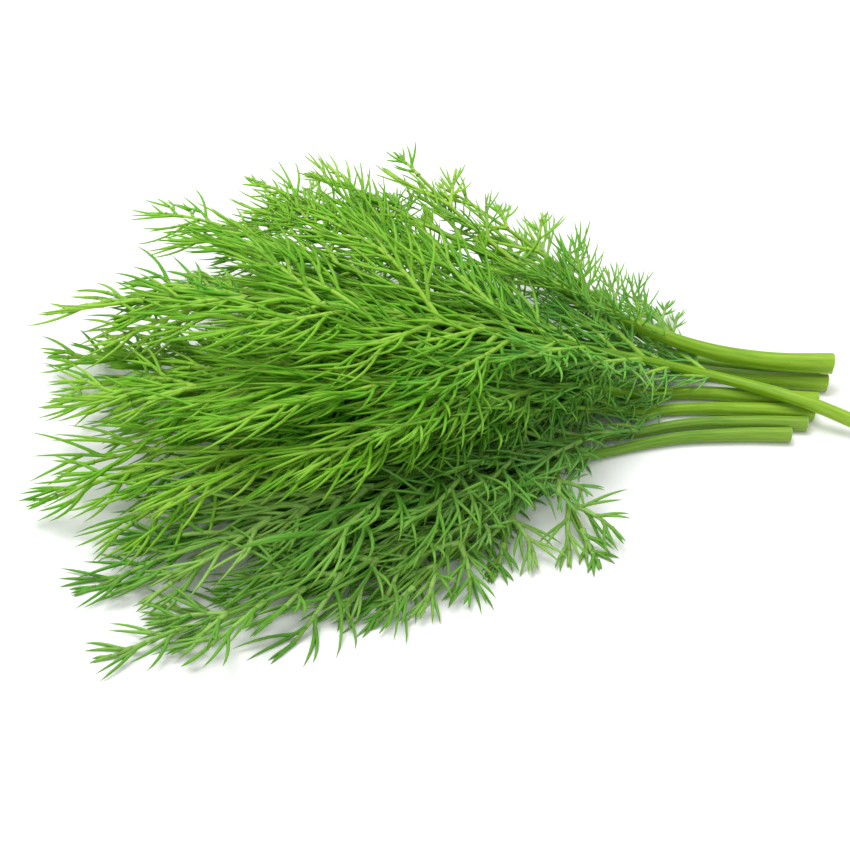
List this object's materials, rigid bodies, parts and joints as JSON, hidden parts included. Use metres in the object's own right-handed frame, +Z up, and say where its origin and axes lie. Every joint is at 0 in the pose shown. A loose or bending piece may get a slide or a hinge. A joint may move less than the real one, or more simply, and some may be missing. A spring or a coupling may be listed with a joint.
{
  "type": "dill bunch",
  "caption": "Small bunch of fresh dill lying on its side, with bare cut stalks at one end and feathery leaves fanned out at the other.",
  "frame": {"origin": "on the surface that the bunch lies on, under the middle of its bounding box", "axes": "+X towards the cut ends of the stalks, -X towards the leaf tips; +Z up from the surface; +Y towards the back of the bunch"},
  "size_m": [0.2046, 0.1698, 0.0477],
  "materials": {
    "bright_green": "fresh yellow-green leaf threads and pale stalks, satin, slightly translucent",
    "deep_green": "fresh mid-green leaf threads and pale stalks, satin, slightly translucent"
  },
  "bodies": {
    "root": {"leafy_stem_top_back": "bright_green", "leafy_stem_far_left": "bright_green", "leafy_stem_back": "deep_green", "leafy_stem_arch": "bright_green", "leafy_stem_middle": "bright_green", "leafy_stem_left": "bright_green", "leafy_stem_low": "deep_green", "leafy_stem_front": "deep_green"}
  },
  "joints": []
}
